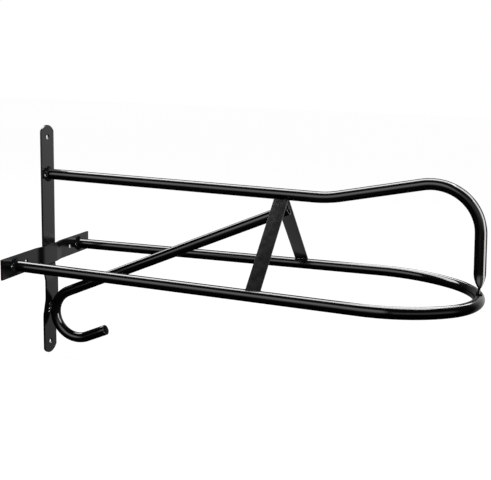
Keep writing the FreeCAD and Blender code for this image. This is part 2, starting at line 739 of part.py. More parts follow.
def main():
    upright = make_upright()
    crossbar = make_crossbar()
    shapes = envelopes()
    loop = fitted("seat_loop", make_loop_blank(), crossbar)
    rail = fitted("ridge_rail", make_rail_blank(), upright, shapes["nose"])
    brace = make_brace_hook()
    legs = {}
    for word, side in (("left", 1), ("right", -1)):
        bar = make_leg_bar(word + "_leg_bar", side)
        legs[word] = fitted(word + "_leg", bar, shapes["rail"], shapes[word + "_arm"])
    doc.recompute()
    beads = make_beads((upright, crossbar), shapes, rail, legs)
    doc.recompute()
    check_objects()
    write_pieces([upright, crossbar, loop, rail, brace, legs["left"], legs["right"]] + beads)


main()
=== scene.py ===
"""Looks of a wall-mounted saddle rack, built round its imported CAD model. Metres.

X points out of the wall, Y to the left of someone facing out of the wall, Z up.
The origin lies on the wall, at the centre of the horizontal strap.
"""
import json
import math

import bmesh
import bpy
from mathutils import Matrix, Vector, noise

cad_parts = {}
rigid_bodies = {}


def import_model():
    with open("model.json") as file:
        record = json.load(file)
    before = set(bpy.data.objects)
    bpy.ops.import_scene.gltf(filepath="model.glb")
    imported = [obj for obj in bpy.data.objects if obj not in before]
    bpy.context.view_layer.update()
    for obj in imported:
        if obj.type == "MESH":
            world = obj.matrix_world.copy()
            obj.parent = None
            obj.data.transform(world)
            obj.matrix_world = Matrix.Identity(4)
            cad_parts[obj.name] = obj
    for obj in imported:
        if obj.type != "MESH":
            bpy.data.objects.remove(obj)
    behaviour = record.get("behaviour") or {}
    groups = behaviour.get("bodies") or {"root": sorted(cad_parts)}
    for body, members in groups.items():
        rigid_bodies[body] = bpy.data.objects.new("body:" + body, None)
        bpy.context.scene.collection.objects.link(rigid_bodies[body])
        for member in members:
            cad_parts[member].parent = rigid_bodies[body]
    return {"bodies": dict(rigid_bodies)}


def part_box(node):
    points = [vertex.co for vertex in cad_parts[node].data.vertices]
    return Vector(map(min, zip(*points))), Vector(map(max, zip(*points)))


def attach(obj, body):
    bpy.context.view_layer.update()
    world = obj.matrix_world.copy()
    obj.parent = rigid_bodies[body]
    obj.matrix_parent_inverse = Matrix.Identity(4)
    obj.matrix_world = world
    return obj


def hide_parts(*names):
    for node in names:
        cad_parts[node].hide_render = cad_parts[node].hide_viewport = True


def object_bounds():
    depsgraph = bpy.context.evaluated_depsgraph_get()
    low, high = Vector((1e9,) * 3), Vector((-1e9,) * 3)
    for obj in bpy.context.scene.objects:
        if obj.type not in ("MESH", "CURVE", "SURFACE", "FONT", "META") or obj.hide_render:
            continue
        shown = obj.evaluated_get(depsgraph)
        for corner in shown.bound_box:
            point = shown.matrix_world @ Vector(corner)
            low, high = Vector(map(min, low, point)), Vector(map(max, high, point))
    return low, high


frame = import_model()
cad_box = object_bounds()

MM = 0.001
BODY = next(iter(frame["bodies"]))

# ---------------- sizes of the object

TUBE = 8.0 * MM
BORE = 6.5 * MM
STRAP_THICKNESS = 3.0 * MM

UPRIGHT_HALF_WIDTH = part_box("upright")[1].y
UPRIGHT_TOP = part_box("upright")[1].z
UPRIGHT_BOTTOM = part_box("upright")[0].z
UPRIGHT_END_RADIUS = 20.5 * MM
HOLE_RADIUS = 3.5 * MM
HOLE_INSET = 18.0 * MM
BOW_DEPTH = 4.5 * MM
BOW_TOP = -19.0 * MM
BOW_RAMP = 20.0 * MM
BOW_BOTTOM = -97.0 * MM
BOW_FOOT_RAMP = 28.0 * MM

CROSSBAR_HALF_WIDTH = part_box("crossbar")[1].z
CROSSBAR_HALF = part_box("crossbar")[1].y
CROSSBAR_HOLE = 63.5 * MM
JOGGLE_FLAT = 20.0 * MM
JOGGLE_RAMP = 12.0 * MM

LOOP_ROOT = 90.8 * MM
LOOP_SPLAY = math.radians(2.63)
LOOP_FRONT = 646.0 * MM
LOOP_SIDE_RADIUS = 158.0 * MM
LOOP_FRONT_RADIUS = 100.0 * MM

RAIL_ROOT = 125.0 * MM
RAIL_FALL = math.radians(0.65)
RAIL_DIP = 419.5 * MM
RAIL_DIP_RADIUS = 150.0 * MM
RAIL_RISE = math.radians(12.3)
RAIL_FRONT = 643.9 * MM
RAIL_BEND_RADIUS = 66.0 * MM
RAIL_LEAN = math.radians(3.6)
PINCH_TOP = 36.0 * MM
PINCH_BOTTOM = 18.0 * MM
CAVITY_END = 19.5 * MM
BLADE_WIDTH = 22.0 * MM
BLADE_THICKNESS = 3.2 * MM
CAVITY_WIDTH = 15.0 * MM
CAVITY_THICKNESS = 0.6 * MM

HOOK_CENTRE = Vector((50.95 * MM, 0, -92.1 * MM))
HOOK_RADIUS = 38.5 * MM
HOOK_TIP = 36.5 * MM
BRACE_ANGLE = math.radians(24.37)
BRACE_LENGTH = 381.0 * MM

LEG_OUT = 373.5 * MM
LEG_STAGGER = 8.0 * MM
LEFT_LEG_SET_BACK = 4.8 * MM
LEG_AIM = 2.0 * MM
LEG_WIDTH = 20.0 * MM
LEG_THICKNESS = 3.0 * MM

# how finely round shapes are drawn
AROUND = 72
ARC_STEP = 2.0 * MM
FEWEST_ARC_STEPS = 4
RUN_STEP = 12.0 * MM

# how deep a piece is let into the one it is welded to, so that no gap shows
SINK = 0.25 * MM

X = Vector((1, 0, 0))
Y = Vector((0, 1, 0))
Z = Vector((0, 0, 1))


# ---------------- mesh helpers

def smooth(value):
    """0 below 0, 1 above 1, and an S-curve between."""
    value = min(1.0, max(0.0, value))
    return value * value * (3 - 2 * value)


def new_object(name, data):
    thing = bpy.data.objects.new(name, data)
    bpy.context.scene.collection.objects.link(thing)
    return thing


def make_piece(name, points, faces, materials, face_materials=None):
    """A closed mesh that rides on the rack, smooth-shaded, with its faces turned outwards."""
    mesh = bpy.data.meshes.new(name)
    mesh.from_pydata([tuple(p) for p in points], [], faces)
    for material in materials:
        mesh.materials.append(material)
    if face_materials:
        mesh.polygons.foreach_set("material_index", face_materials)
    work = bmesh.new()
    work.from_mesh(mesh)
    bmesh.ops.recalc_face_normals(work, faces=work.faces)
    work.to_mesh(mesh)
    work.free()
    mesh.shade_smooth()
    piece = new_object(name, mesh)
    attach(piece, BODY)
    return piece


def stand_for(piece, slot, *nodes):
    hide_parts(*nodes)


SHARP_ANGLE = math.radians(40)


def soften_edges(piece, width, segments):
    """Rounds the piece's sharp edges and keeps its flat faces flat in the light."""
    bevel = piece.modifiers.new("rounded edges", "BEVEL")
    bevel.width = width
    bevel.segments = segments
    bevel.limit_method = "ANGLE"
    bevel.angle_limit = SHARP_ANGLE
    bevel.harden_normals = True


def bridge(first, second, count):
    """Quads between two rings of points, given by the index of each ring's first point."""
    steps = range(count)
    return [(first + i, first + (i + 1) % count, second + (i + 1) % count, second + i) for i in steps]


def skin(rings, closed):
    """Points and quads through rings of equal count; closed joins the last ring to the first."""
    count = len(rings[0])
    points = [p for ring in rings for p in ring]
    faces = []
    for i in range(len(rings) - (0 if closed else 1)):
        faces += bridge(i * count, (i + 1) % len(rings) * count, count)
    return points, faces


def cap_across(start, count):
    """Faces over a ring that is symmetrical about its first point."""
    faces = [(start, start + 1, start + count - 1)]
    half = count // 2
    for i in range(1, half - 1):
        faces.append((start + i, start + i + 1, start + count - i - 1, start + count - i))
    faces.append((start + half - 1, start + half, start + half + 1))
    return faces


# ---------------- centre lines

def line(start, end):
    """Stations along a straight run of centre line: (point, direction, how much it is bent)."""
    way = (end - start).normalized()
    steps = max(1, round((end - start).length / RUN_STEP))
    return [(start.lerp(end, i / steps), way, 0.0) for i in range(steps + 1)]


BEND_EASE = 14.0 * MM
BEND_FLATTENING = 0.022
BEND_WIDENING = BEND_FLATTENING / 3


def arc(centre, across, up, radius, first, last):
    """Stations round an arc from one angle to another, where angle 0 is across and 90 is up."""
    steps = max(FEWEST_ARC_STEPS, round(abs(last - first) * radius / ARC_STEP))
    sign = 1 if last > first else -1
    stations = []
    for i in range(steps + 1):
        angle = first + (last - first) * i / steps
        point = centre + (across * math.cos(angle) + up * math.sin(angle)) * radius
        way = (up * math.cos(angle) - across * math.sin(angle)) * sign
        from_end = min(i, steps - i) / steps * abs(last - first) * radius
        stations.append((point, way, smooth(from_end / BEND_EASE)))
    return stations


def chain(*runs):
    """One centre line from runs that meet end to end."""
    stations = list(runs[0])
    for run in runs[1:]:
        stations += run[1:]
    return stations


def ring(station, side, radius, shift=0.0):
    """Points round a tube at a station; bent tube is a little flat in the plane of its bend."""
    point, way, bent = station
    inward = way.cross(side)
    wide = radius * (1 + BEND_WIDENING * bent)
    deep = radius * (1 - BEND_FLATTENING * bent)
    middle = point + way * shift
    turns = [2 * math.pi * i / AROUND for i in range(AROUND)]
    return [middle + side * (wide * math.cos(a)) + inward * (deep * math.sin(a)) for a in turns]


LIP = 0.45 * MM
LIP_STEPS = 4


def lip(station, side, sign):
    """Rings over a tube's rounded end, from the outside to the bore; sign 1 is the far end."""
    quarter = [math.pi / 2 * i / LIP_STEPS for i in range(LIP_STEPS + 1)]
    outside = [(LIP * (1 - math.sin(a)), TUBE - LIP * (1 - math.cos(a))) for a in quarter]
    inside = [(LIP * (1 - math.cos(a)), BORE + LIP * (1 - math.sin(a))) for a in quarter]
    return [ring(station, side, radius, -sign * back) for back, radius in outside + inside]


def trim_to_face(rings, way, face):
    """Slides rings along a direction so that the foremost stands on the plane X = face."""
    flat = []
    for one in rings:
        middle = sum(one, Vector()) / len(one)
        flat.append([p + way * ((middle.x - p.x) / way.x) for p in one])
    gap = face - min(p.x for one in flat for p in one)
    return [[p + way * (gap / way.x) for p in one] for one in flat]


def hollow_tube(name, stations, side, trim=None):
    """A bent tube, open at both ends. trim is the X of the plane that both ends are cut to."""
    inner = stations[1:-1]
    near, far = lip(stations[0], side, -1), lip(stations[-1], side, 1)
    if trim is not None:
        near = trim_to_face(near, stations[0][1], trim)
        far = trim_to_face(far, -stations[-1][1], trim)
    rings = [ring(s, side, TUBE) for s in inner] + far
    bore_start = len(rings) - 1
    rings += [ring(s, side, BORE) for s in reversed(inner)]
    bore_end = len(rings)
    rings += list(reversed(near))
    points, faces = skin(rings, True)
    looks = [1 if bore_start <= i // AROUND < bore_end else 0 for i in range(len(faces))]
    return make_piece(name, points, faces, [tube_coat, bore_steel], looks)


# ---------------- the three tubes

def loop_centres():
    """Centres of the loop's left side bend and front bend, and the angle where they meet."""
    side, front = LOOP_SIDE_RADIUS, LOOP_FRONT_RADIUS
    nose = Vector((LOOP_FRONT - front, 0, 0))
    root = Vector((STRAP_THICKNESS, LOOP_ROOT, 0))
    way = Vector((math.cos(LOOP_SPLAY), math.sin(LOOP_SPLAY), 0))
    inward = Vector((math.sin(LOOP_SPLAY), -math.cos(LOOP_SPLAY), 0))
    start = root + inward * side
    gap = nose - start
    run = gap.dot(way) - math.sqrt((side - front) ** 2 - gap.dot(inward) ** 2)
    centre = start + way * run
    return centre, nose, math.atan2(-centre.y, nose.x - centre.x)


def make_seat_loop():
    left, nose, meet = loop_centres()
    right = Vector((left.x, -left.y, 0))
    edge = math.pi / 2 + LOOP_SPLAY
    bends = [
        arc(left, X, Y, LOOP_SIDE_RADIUS, edge, meet),
        arc(nose, X, Y, LOOP_FRONT_RADIUS, meet, -meet),
        arc(right, X, Y, LOOP_SIDE_RADIUS, -meet, -edge),
    ]
    root = Vector((STRAP_THICKNESS, LOOP_ROOT, 0))
    far_root = Vector((root.x, -root.y, 0))
    arms = line(root, bends[0][0][0]), line(bends[2][-1][0], far_root)
    stations = chain(arms[0], *bends, arms[1])
    loop = hollow_tube("seat_loop_tube", stations, Z, STRAP_THICKNESS - SINK)
    stand_for(loop, "tube_coat", "seat_loop")


def rail_axis(out):
    """Point on the rail's straight run at a distance out from the wall."""
    return Vector((out, 0, RAIL_ROOT - (out - STRAP_THICKNESS) * math.tan(RAIL_FALL)))


def rail_stations():
    """Centre line of the rail, from the upright to where its end starts to flatten."""
    root, dip = rail_axis(STRAP_THICKNESS), rail_axis(RAIL_DIP)
    dip_centre = dip + Vector((math.sin(RAIL_FALL), 0, math.cos(RAIL_FALL))) * RAIL_DIP_RADIUS
    ramp_way = Vector((math.cos(RAIL_RISE), 0, math.sin(RAIL_RISE)))
    ramp_up = Vector((-math.sin(RAIL_RISE), 0, math.cos(RAIL_RISE)))
    ramp = dip_centre - ramp_up * RAIL_DIP_RADIUS
    pinch = Vector((RAIL_FRONT, 0, PINCH_TOP))
    front_way = Vector((math.sin(RAIL_LEAN), 0, -math.cos(RAIL_LEAN)))
    # the ramp and the front run, both drawn on, cross at a corner that the bend rounds off
    gap = pinch - ramp
    turn = ramp_way.x * front_way.z - ramp_way.z * front_way.x
    along = (gap.x * front_way.z - gap.z * front_way.x) / turn
    corner = ramp + ramp_way * along
    tangent = RAIL_BEND_RADIUS * math.tan((RAIL_RISE + math.pi / 2 - RAIL_LEAN) / 2)
    bend_start = corner - ramp_way * tangent
    bend_centre = bend_start - ramp_up * RAIL_BEND_RADIUS
    down = 3 * math.pi / 2
    return chain(
        line(root, dip),
        arc(dip_centre, X, Z, RAIL_DIP_RADIUS, down - RAIL_FALL, down + RAIL_RISE),
        line(ramp, bend_start),
        arc(bend_centre, X, Z, RAIL_BEND_RADIUS, math.pi / 2 + RAIL_RISE, RAIL_LEAN),
        line(corner + front_way * tangent, pinch),
    )


SLOT_ARC = math.radians(60)
PINCH_POWER = 0.75
PINCH_STEPS = 20
BLADE_STEPS = 3


def slot_point(turn, width, thickness):
    """(along the slot, across it) for one of a ring's points, whose turn runs from 0 to a circle."""
    end, half = thickness / 2, (width - thickness) / 2
    fold = math.copysign(1, math.cos(turn))
    lean = math.asin(max(-1.0, min(1.0, math.sin(turn))))
    if abs(lean) <= SLOT_ARC:
        round_turn = lean * (math.pi / 2) / SLOT_ARC
        return fold * (half + end * math.cos(round_turn)), end * math.sin(round_turn)
    return fold * half * (math.pi / 2 - abs(lean)) / (math.pi / 2 - SLOT_ARC), math.copysign(end, lean)


def pinched_ring(centre, way, radius, width, thickness, share):
    """Ring between a round section, at share 0, and a flat one, at share 1."""
    inward = way.cross(Y)
    shrink = 1 - (1 - share ** 2) ** PINCH_POWER
    spread = smooth(share)
    points = []
    for i in range(AROUND):
        turn = 2 * math.pi * i / AROUND
        along, across = slot_point(turn, width, thickness)
        wide = radius * math.cos(turn) * (1 - spread) + along * spread
        deep = radius * math.sin(turn) * (1 - shrink) + across * shrink
        points.append(centre + Y * wide + inward * deep)
    return points


def on_nose(point):
    """The point moved down or up to the top of the loop's front bend."""
    off = math.hypot(point.x - (LOOP_FRONT - LOOP_FRONT_RADIUS), point.y) - LOOP_FRONT_RADIUS
    height = math.sqrt(max(0.0, TUBE ** 2 - off ** 2))
    return Vector((point.x, point.y, height - SINK))


def make_ridge_rail():
    stations = rail_stations()
    inner = stations[1:]
    pinch, way, _ = stations[-1]
    near = trim_to_face(lip(stations[0], Y, -1), stations[0][1], STRAP_THICKNESS - SINK)
    shares = [math.sin(math.pi / 2 * (i + 1) / PINCH_STEPS) for i in range(PINCH_STEPS)]

    def pinched(share, low, shape):
        """Ring at a share of the way down to the level low; shape is radius, width, thickness."""
        middle = pinch + way * (share * (PINCH_TOP - low) / -way.z)
        return pinched_ring(middle, way, *shape, share)

    outside = [pinched(s, PINCH_BOTTOM, (TUBE, BLADE_WIDTH, BLADE_THICKNESS)) for s in shares]
    inside = [pinched(s, CAVITY_END, (BORE, CAVITY_WIDTH, CAVITY_THICKNESS)) for s in shares]
    foot = [on_nose(p) for p in outside[-1]]
    blade_shares = [i / BLADE_STEPS for i in range(1, BLADE_STEPS + 1)]
    blade = [[a.lerp(b, s) for a, b in zip(outside[-1], foot)] for s in blade_shares]
    rings = list(reversed([ring(s, Y, TUBE) for s in inner] + outside + blade))
    rings += near
    bore_start = len(rings) - 1
    rings += [ring(s, Y, BORE) for s in inner] + inside
    points, faces = skin(rings, False)
    looks = [1 if i // AROUND >= bore_start else 0 for i in range(len(faces))]
    for start in (0, len(points) - AROUND):
        ends = cap_across(start, AROUND)
        faces += ends
        looks += [1 if start else 0] * len(ends)
    rail = make_piece("ridge_rail_tube", points, faces, [tube_coat, bore_steel], looks)
    stand_for(rail, "tube_coat", "ridge_rail")


def brace_ways():
    """The brace's direction, up and out, and its upward normal."""
    way = Vector((math.cos(BRACE_ANGLE), 0, math.sin(BRACE_ANGLE)))
    return way, Vector((-way.z, 0, way.x))


def make_brace_hook():
    way, up = brace_ways()
    top = HOOK_CENTRE + up * HOOK_RADIUS
    bottom = HOOK_CENTRE - up * HOOK_RADIUS
    stations = chain(
        line(top + way * BRACE_LENGTH, top),
        arc(HOOK_CENTRE, way, up, HOOK_RADIUS, math.pi / 2, 3 * math.pi / 2),
        line(bottom, bottom + way * HOOK_TIP),
    )
    hook = hollow_tube("brace_hook_tube", stations, Y)
    stand_for(hook, "tube_coat", "brace_hook")


# ---------------- the straps

HOLE_SPOKES = 72
HOLE_LOOPS = (0.0, 0.2, 0.55, 1.0)
ROW_STEP = 2.5 * MM
STRAP_EDGE = 0.55 * MM
STRAP_EDGE_STEPS = 3

# smaller than this a direction's part counts as none; nearer than this two places are one
NOTHING = 1e-9
SAME_PLACE = 1e-7
PLACE_DIGITS = 7


def outline_reach(angle, back, half, front, round_radius):
    """Distance from a hole's centre to the edge of the patch of strap round it.

    The patch runs from back to front along the strap and half a width each side; a round radius
    gives it the strap's rounded end in front.
    """
    way_x, way_y = math.cos(angle), math.sin(angle)
    reaches = []
    if abs(way_y) > NOTHING:
        reaches.append(half / abs(way_y))
    if way_x < -NOTHING:
        reaches.append(back / -way_x)
    if way_x > NOTHING and round_radius:
        offset = front - round_radius
        reaches.append(way_x * offset + math.sqrt(round_radius ** 2 - (way_y * offset) ** 2))
    elif way_x > NOTHING:
        reaches.append(front / way_x)
    return min(reaches)


def spoke_angles(corners):
    """Even angles round a hole, with the nearest one to each corner turned to point at it."""
    angles = [2 * math.pi * (i + 0.5) / HOLE_SPOKES for i in range(HOLE_SPOKES)]
    for along, across in corners:
        target = math.atan2(across, along) % (2 * math.pi)
        nearest = min(range(HOLE_SPOKES), key=lambda i: abs(angles[i] - target))
        angles[nearest] = target
    return angles


def hole_patch(centre, turned, back, half, front, round_radius=None):
    """Quads from a hole to the edge of its patch, and the places across its back edge.

    turned is -1 where the patch's front faces down the strap.
    """
    if round_radius:
        shoulder = front - round_radius + math.sqrt(round_radius ** 2 - half ** 2)
    else:
        shoulder = front
    corners = [(shoulder, half), (shoulder, -half), (-back, half), (-back, -half)]
    spokes = []
    for even, angle in zip(spoke_angles([]), spoke_angles(corners)):
        reach = outline_reach(angle, back, half, front, round_radius)
        near = Vector((math.cos(even), math.sin(even))) * HOLE_RADIUS
        spokes.append((near, Vector((math.cos(angle), math.sin(angle))) * reach))
    rings = []
    for share in HOLE_LOOPS:
        loop = [near.lerp(far, share) for near, far in spokes]
        rings.append([(centre + turned * point.x, point.y) for point in loop])
    quads = []
    for inner, outer in zip(rings, rings[1:]):
        for i in range(HOLE_SPOKES):
            j = (i + 1) % HOLE_SPOKES
            quads.append((inner[i], inner[j], outer[j], outer[i]))
    edge = centre - turned * back
    return quads, sorted(y for x, y in rings[-1] if abs(x - edge) < SAME_PLACE)


def strip(start, end, columns):
    """Quads over a plain stretch of strap."""
    rows = max(1, round(abs(end - start) / ROW_STEP))
    places = [start + (end - start) * i / rows for i in range(rows + 1)]
    return [((a, c), (a, d), (b, d), (b, c))
            for a, b in zip(places, places[1:]) for c, d in zip(columns, columns[1:])]


def make_strap(name, quads, place, coat):
    """A strap from quads over its flat layout; place(along, across, depth) bends it to shape."""
    index = {}
    faces = []
    for quad in quads:
        places = [(round(x, PLACE_DIGITS), round(y, PLACE_DIGITS)) for x, y in quad]
        faces.append([index.setdefault(spot, len(index)) for spot in places])
    count = len(index)
    edges = {}
    for face in faces:
        for a, b in zip(face, face[1:] + face[:1]):
            edges.setdefault((min(a, b), max(a, b)), []).append((a, b))
    walls = [(b, a, a + count, b + count) for uses in edges.values() if len(uses) == 1 for a, b in uses]
    points = [place(x, y, depth) for depth in (0.0, STRAP_THICKNESS) for x, y in index]
    back = [tuple(reversed(face)) for face in faces]
    front = [tuple(i + count for i in face) for face in faces]
    piece = make_piece(name, points, back + front + walls, [coat])
    soften_edges(piece, STRAP_EDGE, STRAP_EDGE_STEPS)
    return piece


BEND_SOFTNESS = 5.0 * MM
BEND_SAMPLES = 4


def eased(value, start, end, rise):
    """A straight slope from 0 at start to rise at end, with its two corners rounded.

    It is the mean of sharp slopes at evenly spaced places on each side of the value.
    """
    total = 0.0
    for step in range(-BEND_SAMPLES, BEND_SAMPLES + 1):
        place = value + step * BEND_SOFTNESS / (2 * BEND_SAMPLES)
        share = (place - start) / (end - start)
        total += min(1.0, max(0.0, share)) / (2 * BEND_SAMPLES + 1)
    return rise * total


def bow(level):
    """How far the upright's back stands off the wall at a level."""
    upper = eased(-level, -BOW_TOP, -BOW_TOP + BOW_RAMP, BOW_DEPTH)
    lower = eased(level, BOW_BOTTOM, BOW_BOTTOM + BOW_FOOT_RAMP, BOW_DEPTH)
    return min(upper, lower)


def make_upright():
    """Vertical strap: round-ended, bowed forward between the crossbar and the hook."""
    inset, half = HOLE_INSET, UPRIGHT_HALF_WIDTH
    top, bottom = UPRIGHT_TOP - inset, UPRIGHT_BOTTOM + inset
    upper, columns = hole_patch(top, 1, inset, half, inset, UPRIGHT_END_RADIUS)
    lower, _ = hole_patch(bottom, -1, inset, half, inset, UPRIGHT_END_RADIUS)
    middle = strip(bottom + inset, top - inset, columns)

    def place(along, across, depth):
        return Vector((bow(along) + depth, across, along))

    piece = make_strap("upright_strap", upper + middle + lower, place, strap_coat)
    stand_for(piece, "strap_coat", "upright")


def make_crossbar():
    """Horizontal strap: square-ended, joggled over the upright."""
    inset, half = HOLE_INSET, CROSSBAR_HALF_WIDTH
    quads = []
    for sign in (1, -1):
        patch, columns = hole_patch(sign * CROSSBAR_HOLE, sign, inset, half, inset)
        quads += patch + strip(sign * (CROSSBAR_HOLE + inset), sign * CROSSBAR_HALF, columns)
    quads += strip(-CROSSBAR_HOLE + inset, CROSSBAR_HOLE - inset, columns)

    def place(along, across, depth):
        lift = eased(-abs(along), -JOGGLE_FLAT - JOGGLE_RAMP, -JOGGLE_FLAT, STRAP_THICKNESS)
        return Vector((lift + depth, along, across))

    piece = make_strap("crossbar_strap", quads, place, strap_coat)
    stand_for(piece, "strap_coat", "crossbar")


# ---------------- the legs

LEG_EDGE = 0.5 * MM
LEG_EDGE_STEPS = 4
LEG_STEPS = 24
LEG_SHARP_ANGLE = math.radians(50)


def arm_axis(out, side):
    """Point on one of the loop's straight arms; side is 1 for left, -1 for right."""
    return Vector((out, side * (LOOP_ROOT + (out - STRAP_THICKNESS) * math.tan(LOOP_SPLAY)), 0))


def leg_line(side):
    """Foot on the arm's crest, point aimed at above the rail's axis, and the direction between."""
    top_out = LEG_OUT - LEFT_LEG_SET_BACK if side > 0 else LEG_OUT
    foot = arm_axis(LEG_OUT + side * LEG_STAGGER, side) + Z * TUBE
    aim = rail_axis(top_out) + Z * LEG_AIM
    return foot, aim, (aim - foot).normalized()


def meet_tube(point, way, axis, axis_way):
    """Where a line first meets a tube's outside, coming from the point along way."""
    gap = point - axis
    flat_gap = gap - axis_way * gap.dot(axis_way)
    flat_way = way - axis_way * way.dot(axis_way)
    a, b = flat_way.dot(flat_way), flat_gap.dot(flat_way)
    c = flat_gap.dot(flat_gap) - (TUBE - SINK) ** 2
    root = b * b - a * c
    return point + way * ((-b - math.sqrt(max(0.0, root))) / a)


def rail_way():
    return (rail_axis(1) - rail_axis(0)).normalized()


def arm_way(side):
    return (arm_axis(1, side) - arm_axis(0, side)).normalized()


def make_leg(word, side):
    """Flat bar from an arm of the loop to the underside of the rail, shaped to both tubes."""
    foot, aim, way = leg_line(side)
    along = (X - way * way.x).normalized()
    across = way.cross(along)
    middle = (foot + aim) / 2
    half_wide, half_thick = LEG_WIDTH / 2 - LEG_EDGE, LEG_THICKNESS / 2 - LEG_EDGE
    outline = []
    for quarter in range(4):
        sign_wide = 1 if quarter in (0, 3) else -1
        sign_thick = 1 if quarter in (0, 1) else -1
        for i in range(LEG_EDGE_STEPS + 1):
            turn = math.pi / 2 * (quarter + i / LEG_EDGE_STEPS)
            outline.append((sign_wide * half_wide + LEG_EDGE * math.cos(turn),
                            sign_thick * half_thick + LEG_EDGE * math.sin(turn)))
    tops, feet = [], []
    for wide, thick in outline:
        point = middle + along * wide + across * thick
        tops.append(meet_tube(point, way, rail_axis(0), rail_way()))
        feet.append(meet_tube(point, -way, arm_axis(0, side), arm_way(side)))
    rings = [[a.lerp(b, i / LEG_STEPS) for a, b in zip(feet, tops)] for i in range(LEG_STEPS + 1)]
    points, faces = skin(rings, False)
    count = len(outline)
    faces.append(tuple(range(count)))
    faces.append(tuple(range(len(points) - count, len(points))))
    leg = make_piece(word + "_leg_bar", points, faces, [leg_coat])
    leg.data.set_sharp_from_angle(angle=LEG_SHARP_ANGLE)
    stand_for(leg, "leg_coat", word + "_leg")


# ---------------- weld beads

BEAD_STEP = 0.35 * MM
FEWEST_BEAD_STEPS = 8
BEAD_ACROSS = 12
BEAD_BULGE = 0.09

# how deep a bead's edges and its root lie inside the pieces it joins
EDGE_SINK = 0.1 * MM
ROOT_SINK = 0.4 * MM

# an open run tapers to this share of its size, and the higher the power the later it does
BEAD_END_SIZE = 0.12
BEAD_END_POWER = 6

# ripples: each lags at the middle of the bead, by a share of the pitch, and rises steeply
RIPPLE_PITCH = 1.35 * MM
RIPPLE_HEIGHT = 0.16 * MM
RIPPLE_LAG = 0.55
RIPPLE_POWER = 0.6

# slow wander of the two edges, and lumps over the whole bead
BEAD_WANDER = 0.14
WANDER_PITCH = 2.6 * MM
WANDER_CIRCLE = 2.2
WANDER_APART = 7.3
BEAD_LUMPS = 0.60 * MM
LUMPS_ALONG = 3.2
LUMPS_ACROSS = 5
RUN_SEED = 11.7


def bead_shell(stations, closed, seed):
    """Rings of one run of weld: each station is (edge on one piece, edge on the other, root)."""
    lengths = [0.0]
    for before, after in zip(stations, stations[1:]):
        lengths.append(lengths[-1] + (after[2] - before[2]).length)
    total = lengths[-1]
    rings = []
    for place, (edge_a, edge_b, root) in zip(lengths, stations):
        if closed:
            turn = 2 * math.pi * place / total
            spot = Vector((math.cos(turn), math.sin(turn), 0)) * WANDER_CIRCLE + Vector((0, 0, seed))
            full = 1.0
        else:
            spot = Vector((place / WANDER_PITCH, 0, seed))
            full = max(BEAD_END_SIZE, (1 - abs(2 * place / total - 1) ** BEAD_END_POWER) ** 0.5)
        grow_a = full * (1 + BEAD_WANDER * noise.noise(spot))
        grow_b = full * (1 + BEAD_WANDER * noise.noise(spot + Z * WANDER_APART))
        first = root + (edge_a - root) * grow_a
        last = root + (edge_b - root) * grow_b
        out = ((first + last) / 2 - root).normalized()
        width = (last - first).length
        points = [root]
        for i in range(BEAD_ACROSS + 1):
            share = i / BEAD_ACROSS
            crown = math.sin(math.pi * share)
            count = place / RIPPLE_PITCH - RIPPLE_LAG * crown
            saw = count - math.floor(count)
            ripple = RIPPLE_HEIGHT * full * (saw ** RIPPLE_POWER) * crown ** 0.5
            bumpy = noise.noise(spot * LUMPS_ALONG + X * share * LUMPS_ACROSS)
            lump = BEAD_LUMPS * full * bumpy * crown
            height = width * BEAD_BULGE * crown + ripple + lump
            points.append(first.lerp(last, share) + out * height)
        rings.append(points)
    return rings


def make_bead(node, runs, closed=False):
    """One CAD weld node drawn as rippled runs of weld metal."""
    points, faces = [], []
    for number, stations in enumerate(runs):
        rings = bead_shell(stations, closed, RUN_SEED * number + len(node))
        if closed:
            rings = rings[:-1]
        count = len(rings[0])
        shell, quads = skin(rings, closed)
        start = len(points)
        if not closed:
            quads.append(tuple(range(count)))
            quads.append(tuple(range(len(shell) - count, len(shell))))
        points += shell
        faces += [tuple(start + i for i in quad) for quad in quads]
    bead = make_piece(node + "_bead", points, faces, [weld_coat])
    stand_for(bead, "weld_coat", node)


def spaced(first, last):
    """Numbers from first to last, one bead step apart."""
    steps = max(FEWEST_BEAD_STEPS, round(abs(last - first) / BEAD_STEP))
    return [first + (last - first) * i / steps for i in range(steps + 1)]


ROOT_LEG = 3.9 * MM
ROOT_DEPTH = 0.6 * MM


def make_root_bead(node, axis, axis_way):
    """Weld all round a tube's end, on the face of a strap."""
    side = axis_way.cross(Z if abs(axis_way.z) < 0.5 else Y).normalized()
    up = side.cross(axis_way)
    stations = []
    for arc_place in spaced(0, 2 * math.pi * (TUBE + ROOT_LEG / 2)):
        turn = arc_place / (TUBE + ROOT_LEG / 2)
        radial = side * math.cos(turn) + up * math.sin(turn)
        wall = axis + radial * TUBE
        on_tube = wall + axis_way * ((STRAP_THICKNESS + ROOT_LEG - wall.x) / axis_way.x)
        on_strap = axis + radial * (TUBE + ROOT_LEG)
        on_strap.x = STRAP_THICKNESS - EDGE_SINK
        root = axis + radial * (TUBE - ROOT_DEPTH)
        root.x = STRAP_THICKNESS - ROOT_SINK
        stations.append((on_tube - radial * EDGE_SINK, on_strap, root))
    make_bead(node, [stations], closed=True)


CROSS_BEAD_HALF = 15.5 * MM
CROSS_BEAD_LEG = 2.9 * MM
CROSS_BEAD_CLIMB = 0.85 * CROSS_BEAD_LEG
CROSS_BEAD_SINK = 0.15 * MM


